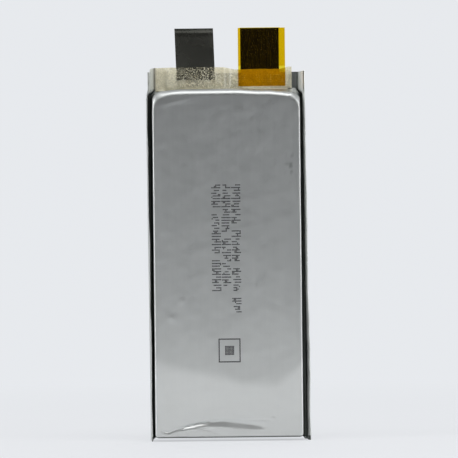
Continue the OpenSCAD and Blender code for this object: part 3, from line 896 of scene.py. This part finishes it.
def pale_cut_edge(x, y, z):
    """The rear film's cut edges, along the front of the side seals, drawn pale and less metallic."""
    return 0.9 * smooth(0.10, 0.04, y - (Y_FOLD - WING)) * (1 - beside_seal(z))


def slack_painted_reflection(x, y, z):
    """Where the face hangs loose, towards the cell's foot. There it is painted paler, as a reflection."""
    return smooth(-1.0, 1.8, np.interp(x, SLACK_X, SLACK_Z) - z) * smooth(Y_FACE + 1.5, Y_FACE + 1.0, y)


def store_share(piece, share):
    """Keeps share(x, y, z) on the piece's points, under the function's name, for its material to read."""
    places = np.empty(len(piece.data.vertices) * 3)
    piece.data.vertices.foreach_get("co", places)
    x, y, z = places.reshape(-1, 3).T / MM
    attribute = piece.data.attributes.new(share.__name__, "FLOAT", "POINT")
    attribute.data.foreach_set("value", share(x, y, z).astype(np.float32))


def tab_shape(middle_x, y, z_low, z_high, lean, seed):
    """Front of a tab's metal, finely divided where it bends, with eased edges and a slight wave."""
    z = np.linspace(z_low, z_high, 1 + int(round((z_high - z_low) / 0.16)))
    across = np.linspace(-1, 1, 26)
    ease = 0.02 * smooth(0.94, 1.0, np.abs(across))
    x = middle_x + lean * (z - HINGE_Z)[None, :] + across[:, None] * TAB_W / 2
    sway = 0.05 * waves(x, z, 121 + seed, 11) * smooth(HINGE_Z + 0.5, z_high, z)
    curl = 0.05 * bump(z_high - 1.0, 0.4, z) * smooth(0.0, 0.02, abs(lean))
    return points(x, y - TAB_T / 2 + ease[:, None] + sway + curl, z)


def polyimide_offset(x):
    """Distance of a tape leg's outer face from the tab's middle plane. Past the tab the legs are pinched."""
    away = np.abs(x - TAB_X) - TAB_W / 2
    return TAB_T / 2 + 0.012 + AMBER_T - (TAB_T / 2 + 0.006) * smooth(0.02, 0.38, away)


def polyimide_grid():
    """Amber tape: up the front of the seal, up the tab's front, over its tip and down its rear."""
    x = np.linspace(FOOT_LOW[0], FOOT_HIGH[0], 54)
    offset = polyimide_offset(x)[:, None]
    foot_x, foot_z = np.meshgrid(x, np.linspace(FOOT_LOW[2] - 0.1, FOOT_HIGH[2] - 0.02, 24), indexing="ij")
    leg_x, leg_z = np.meshgrid(x, np.linspace(FOOT_HIGH[2] + 0.06, TIP_Z, 58), indexing="ij")
    foot_y = tape_front_y(foot_x, foot_z) - AMBER_T - 0.015
    settled = smooth(FOOT_HIGH[2] - 0.1, FOOT_HIGH[2] + 2.6, leg_z)
    sway = 0.05 * waves(leg_x, leg_z, 123, 11) * smooth(HINGE_Z + 0.5, TIP_Z, leg_z)
    leg_y = foot_y[:, -1:] * (1 - settled) + (TAB_Y - offset) * settled + sway
    parts = [points(foot_x, foot_y, foot_z), points(leg_x, leg_y, leg_z)]
    for step in range(1, 8):
        angle = math.pi * step / 8
        tip_y = TAB_Y + sway[:, -1:] - offset * math.cos(angle)
        parts.append(points(x[:, None], tip_y, TIP_Z + 0.01 + offset * math.sin(angle) * 0.55))
    rear = slice(None, 0, -1)               # back down the leg, short of its lowest row
    parts.append(points(leg_x[:, rear], TAB_Y + offset + sway[:, rear], leg_z[:, rear]))
    return np.concatenate(parts, axis=1)


def bend_with(piece):
    """Bakes a piece's placement into its mesh."""
    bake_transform(piece)


# ---- ink

INK_RISE, INK_DEPTH = 0.012, 0.02           # a dot's height above the face, and its reach below
DOT_R = 0.15
DOT_SIDES = 6
DOT_PITCH = 0.28
MARK_PITCH = 1.72                           # from one mark of five rows to the next
GROUP_GAP = 1.1


def ink_disc(centre_x, centre_z):
    """Outer and sunken rim of one printed dot, a thin button on the face."""
    angles = np.arange(DOT_SIDES) * 2 * math.pi / DOT_SIDES
    x = centre_x + DOT_R * np.cos(angles)
    z = centre_z + DOT_R * np.sin(angles)
    y = face_y(x, z)
    return points(x, y - INK_RISE, z), points(x, y + INK_DEPTH, z)


def ink_piece(name, dots):
    vertices, faces = [], []
    for x, z in sorted(set(dots)):
        base = len(vertices)
        for rim in ink_disc(x, z):
            vertices.extend(rim)
        faces.append([base + k for k in range(DOT_SIDES)])
        faces.append([base + 2 * DOT_SIDES - 1 - k for k in range(DOT_SIDES)])
        for k in range(DOT_SIDES):
            after = (k + 1) % DOT_SIDES
            faces.append([base + after, base + k, base + k + DOT_SIDES, base + after + DOT_SIDES])
    piece = make_piece(name, vertices, faces, INK)
    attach(piece, "cell")


def tick_dots(middle_x, top_z, groups, seed):
    """A line of generic print down the cell, in groups of marks: random rows of dots, with no lettering."""
    rng = np.random.default_rng(seed)
    dots = []
    start = top_z
    for group in groups:
        for _ in range(group):
            for row in range(5):
                length = rng.integers(3, 8) if row % 2 == 0 else rng.integers(0, 3)
                first = rng.integers(0, 8 - length)
                for dot in range(first, first + length):
                    dots.append((middle_x + (dot - 3) * DOT_PITCH, start - row * DOT_PITCH))
            start -= MARK_PITCH
        start -= GROUP_GAP
    return dots


def square_mark_dots(middle_x, middle_z, half_x, half_z):
    """A plain rectangle's outline with a smaller solid square in it."""
    dots = []
    steps = 20
    for k in range(steps):
        share = -1 + 2 * k / steps
        along_x, along_z = share * half_x, share * half_z
        dots += [(middle_x + along_x, middle_z + half_z), (middle_x + half_x, middle_z - along_z)]
        dots += [(middle_x - along_x, middle_z - half_z), (middle_x - half_x, middle_z + along_z)]
    for i in range(-3, 4):
        for j in range(-3, 4):
            dots.append((middle_x + i * DOT_PITCH, middle_z + j * DOT_PITCH))
    return dots


# ---- build

def build_pieces():
    front = sheet("front_film", front_film_grid(), FILM, LAMINATE)
    for share in (painted_shade_and_stain, slack_painted_reflection, rubbed_and_painted_light):
        store_share(front, share)
    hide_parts("pouch_front_film")
    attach(front, "cell")

    rear = sheet("rear_film", rear_film_grid(), FILM, LAMINATE)
    store_share(rear, pale_cut_edge)
    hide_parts("pouch_rear_film")
    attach(rear, "cell")

    tape = sheet("seal_tape", terrace_tape_grid(), TAPE_T, FROSTED)
    for share in (wetted, painted_crease_shade, lapped):
        store_share(tape, share)
    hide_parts("terrace_tape")
    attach(tape, "cell")

    strip_grid = tab_shape(STRIP_X, STRIP_Y, STRIP_LOW[2], BLADE_HIGH[2], STRIP_LEAN, 0)
    strip = sheet("negative_strip", strip_grid, TAB_T, NICKEL)
    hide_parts("negative_strip_foot", "negative_strip_blade")
    bend_with(strip)

    tab_grid = tab_shape(TAB_X, TAB_Y, ROOT_LOW[2], TIP_Z, 0.0, 2)
    tab = sheet("positive_tab", tab_grid, TAB_T, TAB_ALUMINIUM)
    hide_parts("positive_tab_root", "positive_tab_blade")
    bend_with(tab)

    amber = sheet("polyimide_tape", polyimide_grid(), AMBER_T, AMBER)
    store_share(amber, over_seal)
    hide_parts("polyimide_tape_foot", "polyimide_tape_sleeve")
    bend_with(amber)

    lines = tick_dots(1.95, 54.0, (5, 4, 3, 2), 201)
    lines += tick_dots(-0.15, 54.0, (6, 6), 202) + tick_dots(-2.25, 54.0, (3, 5, 4), 203)
    ink_piece("ink_tick_lines", lines)
    ink_piece("ink_square_mark", square_mark_dots(0.3, 19.1, 2.2, 2.4))

    slot_materials = {slot: plain_material(*look) for slot, look in SLOT_LOOKS.items()}
    for entry in frame["record"]["subparts"]:
        if entry["material_slot"] in slot_materials:
            materials = frame["nodes"][entry["node"]].data.materials
            materials.clear()
            materials.append(slot_materials[entry["material_slot"]])


# ---- stage, lights and camera

BACKDROP = (0.80, 0.82, 0.85)
ROOM_COLOUR = (0.97, 0.98, 1.0)
ROOM_BRIGHT, ROOM_DARK = 0.62, 0.03         # what reflections see all round, and straight ahead of the face
AHEAD = (0, -0.995, 0.1)


def build_world():
    """Pale to the camera. Reflections see a soft bright room, dark straight ahead of the face."""
    world = bpy.data.worlds.new("studio")
    bpy.context.scene.world = world
    world.use_nodes = True
    nodes, links = world.node_tree.nodes, world.node_tree.links
    nodes.clear()
    output = nodes.new("ShaderNodeOutputWorld")
    mix = nodes.new("ShaderNodeMixShader")
    pale, room = nodes.new("ShaderNodeBackground"), nodes.new("ShaderNodeBackground")
    pale.inputs["Color"].default_value = (*BACKDROP, 1)
    path = nodes.new("ShaderNodeLightPath")
    links.new(path.outputs["Is Camera Ray"], mix.inputs[0])
    links.new(room.outputs[0], mix.inputs[1])
    links.new(pale.outputs[0], mix.inputs[2])
    links.new(mix.outputs[0], output.inputs["Surface"])
    direction = nodes.new("ShaderNodeTexCoord")
    spread = nodes.new("ShaderNodeVectorMath")
    spread.operation = "DOT_PRODUCT"
    spread.inputs[1].default_value = AHEAD
    links.new(direction.outputs["Generated"], spread.inputs[0])
    ramp = nodes.new("ShaderNodeMapRange")
    ramp.interpolation_type = "SMOOTHSTEP"
    ramp.inputs["From Min"].default_value = 0.40
    ramp.inputs["From Max"].default_value = 0.86
    ramp.inputs["To Min"].default_value = ROOM_BRIGHT
    ramp.inputs["To Max"].default_value = ROOM_DARK
    links.new(spread.outputs["Value"], ramp.inputs["Value"])
    links.new(ramp.outputs["Result"], room.inputs["Strength"])
    room.inputs["Color"].default_value = (*ROOM_COLOUR, 1)


def build_floor():
    """A pale floor whose rim fades into the backdrop. Only the camera sees the fade."""
    look = Look("studio_floor")
    place = look.place.outputs[0]
    distance = look.nodes.new("ShaderNodeVectorMath")
    distance.operation = "LENGTH"
    look.links.new(place, distance.inputs[0])
    look.set(base_color=look.blend(look.noise(0.02), (0.80, 0.81, 0.83), (0.84, 0.85, 0.87)), roughness=0.8)
    glow = look.nodes.new("ShaderNodeEmission")
    glow.inputs["Color"].default_value = (*BACKDROP, 1)
    mix = look.nodes.new("ShaderNodeMixShader")
    fade = look.ramp(distance.outputs["Value"], 0, 300, 0.6, 1)
    path = look.nodes.new("ShaderNodeLightPath")
    look.links.new(look.math("MULTIPLY", fade, path.outputs["Is Camera Ray"]), mix.inputs[0])
    look.links.new(look.shader.outputs[0], mix.inputs[1])
    look.links.new(glow.outputs[0], mix.inputs[2])
    look.links.new(mix.outputs[0], look.nodes["Material Output"].inputs["Surface"])
    bpy.ops.mesh.primitive_circle_add(vertices=96, radius=1.6, fill_type="NGON", location=(0, 0, 0))
    floor = bpy.context.object
    floor.name = "studio_floor"
    floor.data.materials.append(look.material)


def area_light(name, place, target, width, height, power):
    data = bpy.data.lights.new(name, "AREA")
    data.shape = "RECTANGLE"
    data.size, data.size_y = width, height
    data.energy = power
    lamp = bpy.data.objects.new(name, data)
    lamp.location = place
    lamp.rotation_euler = (Vector(target) - Vector(place)).to_track_quat("-Z", "Y").to_euler()
    bpy.context.scene.collection.objects.link(lamp)
    return lamp


def build_lights():
    middle = (0, 0, 0.04)
    area_light("key_above", (0.03, -0.27, 0.50), middle, 0.45, 0.3, 1.0)
    area_light("left_strip", (-0.42, -0.22, 0.10), middle, 0.12, 0.5, 0.95)
    area_light("right_strip", (0.42, -0.22, 0.10), middle, 0.12, 0.5, 0.80)
    area_light("left_kick", (-0.33, -0.36, 0.05), middle, 0.08, 0.5, 0.14)
    area_light("right_kick", (0.33, -0.36, 0.05), middle, 0.08, 0.5, 0.14)
    low = area_light("low_front", (0.0, -0.10, 0.004), (0, 0, 0.004), 0.12, 0.006, 0.0058)
    low.light_linking.receiver_collection = LIT_FROM_BELOW
    area_light("rear_fill", (0.1, 0.5, 0.3), middle, 0.5, 0.4, 0.4)


CAMERA_DISTANCE = 0.8
CAMERA_FIELD = 0.097                        # width of the picture at the cell, in metres
CAMERA_ROLL = 0.62                          # degrees


def build_camera():
    """A long lens square to the drawn face, rolled a little so that the cell leans to the left."""
    data = bpy.data.cameras.new("camera")
    data.sensor_width = 36
    data.lens = data.sensor_width * CAMERA_DISTANCE / CAMERA_FIELD
    camera = bpy.data.objects.new("camera", data)
    camera.location = (0.00045, -CAMERA_DISTANCE, 0.04472)
    camera.rotation_euler = (math.radians(90), math.radians(CAMERA_ROLL), 0)
    bpy.context.scene.collection.objects.link(camera)
    bpy.context.scene.camera = camera


build_pieces()
build_world()
build_floor()
build_lights()
build_camera()
bpy.context.scene.view_settings.view_transform = "Standard"
